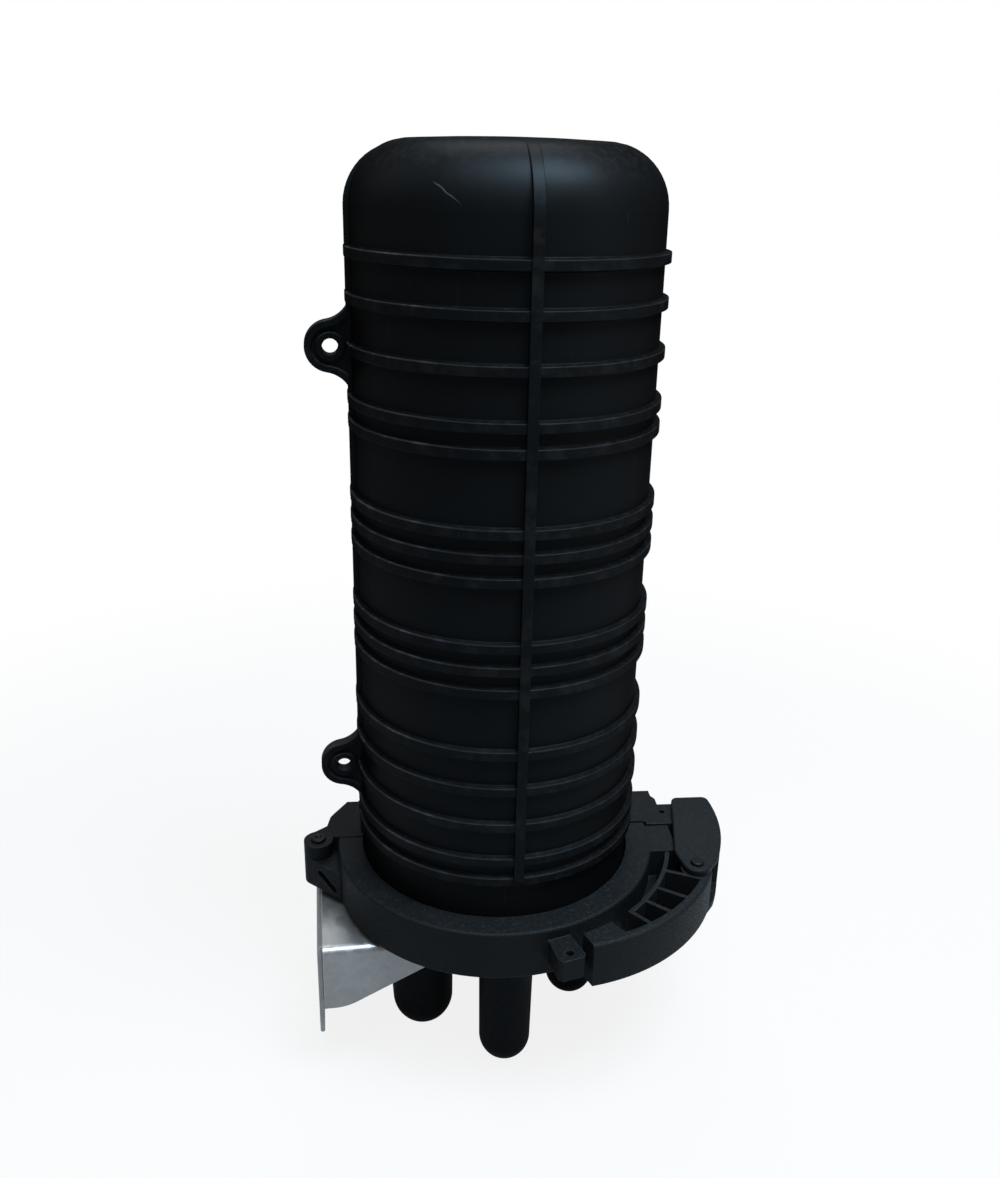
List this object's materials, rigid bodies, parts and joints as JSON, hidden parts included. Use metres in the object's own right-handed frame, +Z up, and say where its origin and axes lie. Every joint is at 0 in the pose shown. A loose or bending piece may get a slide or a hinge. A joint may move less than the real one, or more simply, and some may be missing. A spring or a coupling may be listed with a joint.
{
  "type": "dome splice closure",
  "caption": "Ribbed dome closure for fibre splices on a base with blind cable ports, held by a hinged clamp ring with a lever latch and a folded wall bracket.",
  "frame": {"origin": "middle of the bracket's bolt holes on the wall face", "axes": "+Z up along the dome's axis, +X away from the wall"},
  "size_m": [0.237, 0.1909, 0.476],
  "materials": {
    "dome_plastic": "satin moulded",
    "base_plastic": "matte moulded",
    "clamp_plastic": "grained",
    "latch_plastic": "grained",
    "pin_steel": "blackened",
    "seal_rubber": "matte",
    "galvanised_sheet": "galvanised",
    "fastener_steel": "zinc plated",
    "tray_plastic": "light grey",
    "rack_plastic": "dark grey",
    "clear_cover": "clear plastic",
    "strap_fabric": "woven"
  },
  "bodies": {
    "closure": {"dome": "dome_plastic", "dome_lugs": "dome_plastic", "base": "base_plastic", "base_deck": "base_plastic", "port_front": "base_plastic", "port_right": "base_plastic", "port_rear": "base_plastic", "port_oval": "base_plastic", "clamp_rear_half": "clamp_plastic", "hinge_pin": "pin_steel", "link_pin": "pin_steel", "o_ring": "seal_rubber", "wall_bracket": "galvanised_sheet", "tray_carrier": "galvanised_sheet", "cable_clamp_front": "galvanised_sheet", "cable_clamp_right": "galvanised_sheet", "cable_clamp_rear": "galvanised_sheet", "bracket_screws": "fastener_steel", "bracket_washers": "fastener_steel", "carrier_screws": "fastener_steel", "rack_screws": "fastener_steel", "cable_clamp_screws": "fastener_steel", "splice_tray_1": "tray_plastic", "splice_tray_2": "tray_plastic", "splice_tray_3": "tray_plastic", "splice_tray_4": "tray_plastic", "storage_basket": "tray_plastic", "tray_rack": "rack_plastic", "tray_cover": "clear_cover", "tray_strap": "strap_fabric"},
    "front_half": {"clamp_front_half": "clamp_plastic"},
    "link": {"latch_link": "latch_plastic", "lever_pin": "pin_steel"},
    "lever": {"latch_lever": "latch_plastic"}
  },
  "joints": [
    {"name": "link_swing", "type": "hinge", "parent": "closure", "child": "link", "pos_m": [0.21757, 0.00404, 0.045], "axis": [0, 0, 1], "range_deg": [0, 35]},
    {"name": "lever_swing", "type": "hinge", "parent": "link", "child": "lever", "pos_m": [0.20405, -0.04584, 0.045], "axis": [0, 0, 1], "range_deg": [0, 140]},
    {"name": "clamp_hinge", "type": "hinge", "parent": "closure", "child": "front_half", "pos_m": [0.00234, 0.00686, 0.045], "axis": [0, 0, -1], "range_deg": [0, 12.6]}
  ],
  "couplings": [
    {"joint": "link_swing", "follows": "lever_swing", "ratio": 0.25},
    {"joint": "clamp_hinge", "follows": "lever_swing", "ratio": 0.09}
  ]
}
